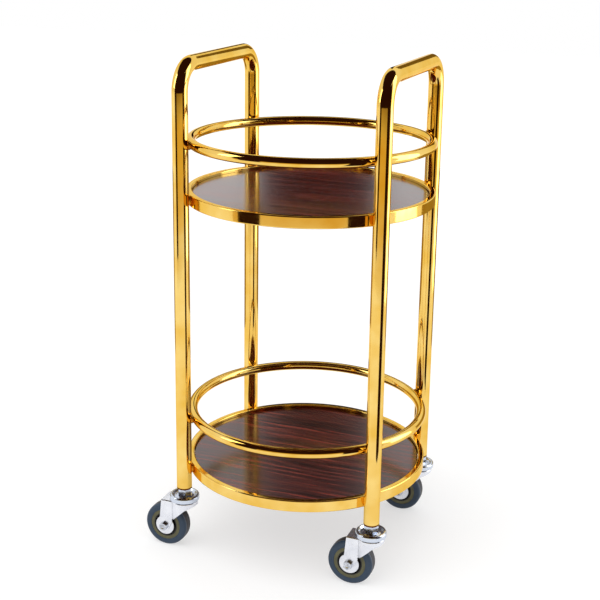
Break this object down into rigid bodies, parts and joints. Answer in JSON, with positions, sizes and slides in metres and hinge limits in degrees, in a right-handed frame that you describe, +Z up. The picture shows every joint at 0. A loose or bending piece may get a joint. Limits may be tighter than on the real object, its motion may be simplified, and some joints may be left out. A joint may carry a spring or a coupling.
{
  "type": "round two-tier service cart",
  "caption": "Round two-tier service cart: bent gold tube frames with handles, guard rings over recessed wood-grain trays, free swivel casters.",
  "frame": {"origin": "on the floor, under the axis of the round trays", "axes": "+Z up, +Y along the handles from front to rear, +X from the left frame tube to the right one"},
  "size_m": [0.4354, 0.404, 0.825],
  "materials": {
    "gold_tube": "stainless steel tube, mirror polished, gold titanium coating",
    "gold_rim": "rectangular stainless tube, mirror polished, gold titanium coating",
    "gold_weld": "ground weld bead under the gold coating",
    "laminate_board": "board with a satin mahogany-grain laminate",
    "plain_steel": "plain turned or stamped steel",
    "chrome_cap": "bright chrome plate",
    "ball_steel": "ground bearing steel",
    "zinc_fork": "bright zinc-plated pressed steel",
    "zinc_bolt": "zinc-plated fastener",
    "zinc_cover": "bright zinc-plated pressed disc",
    "olive_core": "moulded polypropylene, satin",
    "grey_tyre": "moulded rubber, satin"
  },
  "bodies": {
    "cart_frame": {"left_frame_tube": "gold_tube", "right_frame_tube": "gold_tube", "upper_guard_ring": "gold_tube", "upper_tray_rim": "gold_rim", "upper_tray_board": "laminate_board", "upper_board_lugs": "plain_steel", "upper_board_screws": "plain_steel", "upper_ring_welds": "gold_weld", "upper_rim_welds": "gold_weld", "lower_guard_ring": "gold_tube", "lower_tray_rim": "gold_rim", "lower_tray_board": "laminate_board", "lower_board_lugs": "plain_steel", "lower_board_screws": "plain_steel", "lower_ring_welds": "gold_weld", "lower_rim_welds": "gold_weld", "tube_end_plugs": "plain_steel", "caster_lock_nuts": "chrome_cap", "front_left_stem": "plain_steel", "front_left_swivel_cap": "chrome_cap", "front_right_stem": "plain_steel", "front_right_swivel_cap": "chrome_cap", "rear_left_stem": "plain_steel", "rear_left_swivel_cap": "chrome_cap", "rear_right_stem": "plain_steel", "rear_right_swivel_cap": "chrome_cap"},
    "front_left_swivel": {"front_left_race_balls": "ball_steel", "front_left_fork": "zinc_fork", "front_left_axle_bolt": "zinc_bolt", "front_left_axle_nut": "zinc_bolt", "front_left_axle_sleeve": "plain_steel"},
    "front_left_wheel": {"front_left_wheel_core": "olive_core", "front_left_tyre": "grey_tyre", "front_left_hub_covers": "zinc_cover"},
    "front_right_swivel": {"front_right_race_balls": "ball_steel", "front_right_fork": "zinc_fork", "front_right_axle_bolt": "zinc_bolt", "front_right_axle_nut": "zinc_bolt", "front_right_axle_sleeve": "plain_steel"},
    "front_right_wheel": {"front_right_wheel_core": "olive_core", "front_right_tyre": "grey_tyre", "front_right_hub_covers": "zinc_cover"},
    "rear_left_swivel": {"rear_left_race_balls": "ball_steel", "rear_left_fork": "zinc_fork", "rear_left_axle_bolt": "zinc_bolt", "rear_left_axle_nut": "zinc_bolt", "rear_left_axle_sleeve": "plain_steel"},
    "rear_left_wheel": {"rear_left_wheel_core": "olive_core", "rear_left_tyre": "grey_tyre", "rear_left_hub_covers": "zinc_cover"},
    "rear_right_swivel": {"rear_right_race_balls": "ball_steel", "rear_right_fork": "zinc_fork", "rear_right_axle_bolt": "zinc_bolt", "rear_right_axle_nut": "zinc_bolt", "rear_right_axle_sleeve": "plain_steel"},
    "rear_right_wheel": {"rear_right_wheel_core": "olive_core", "rear_right_tyre": "grey_tyre", "rear_right_hub_covers": "zinc_cover"}
  },
  "joints": [
    {"name": "front_left_swivel_turn", "type": "hinge", "parent": "cart_frame", "child": "front_left_swivel", "pos_m": [-0.16494, -0.139, 0.086], "axis": [0, 0, 1], "continuous": true},
    {"name": "front_left_wheel_roll", "type": "hinge", "parent": "front_left_swivel", "child": "front_left_wheel", "pos_m": [-0.19594, -0.139, 0.0375], "axis": [0, 1, 0], "continuous": true},
    {"name": "front_right_swivel_turn", "type": "hinge", "parent": "cart_frame", "child": "front_right_swivel", "pos_m": [0.16494, -0.139, 0.086], "axis": [0, 0, 1], "continuous": true},
    {"name": "front_right_wheel_roll", "type": "hinge", "parent": "front_right_swivel", "child": "front_right_wheel", "pos_m": [0.13394, -0.139, 0.0375], "axis": [0, 1, 0], "continuous": true},
    {"name": "rear_left_swivel_turn", "type": "hinge", "parent": "cart_frame", "child": "rear_left_swivel", "pos_m": [-0.16494, 0.139, 0.086], "axis": [0, 0, 1], "continuous": true},
    {"name": "rear_left_wheel_roll", "type": "hinge", "parent": "rear_left_swivel", "child": "rear_left_wheel", "pos_m": [-0.19594, 0.139, 0.0375], "axis": [0, 1, 0], "continuous": true},
    {"name": "rear_right_swivel_turn", "type": "hinge", "parent": "cart_frame", "child": "rear_right_swivel", "pos_m": [0.16494, 0.139, 0.086], "axis": [0, 0, 1], "continuous": true},
    {"name": "rear_right_wheel_roll", "type": "hinge", "parent": "rear_right_swivel", "child": "rear_right_wheel", "pos_m": [0.13394, 0.139, 0.0375], "axis": [0, 1, 0], "continuous": true}
  ]
}
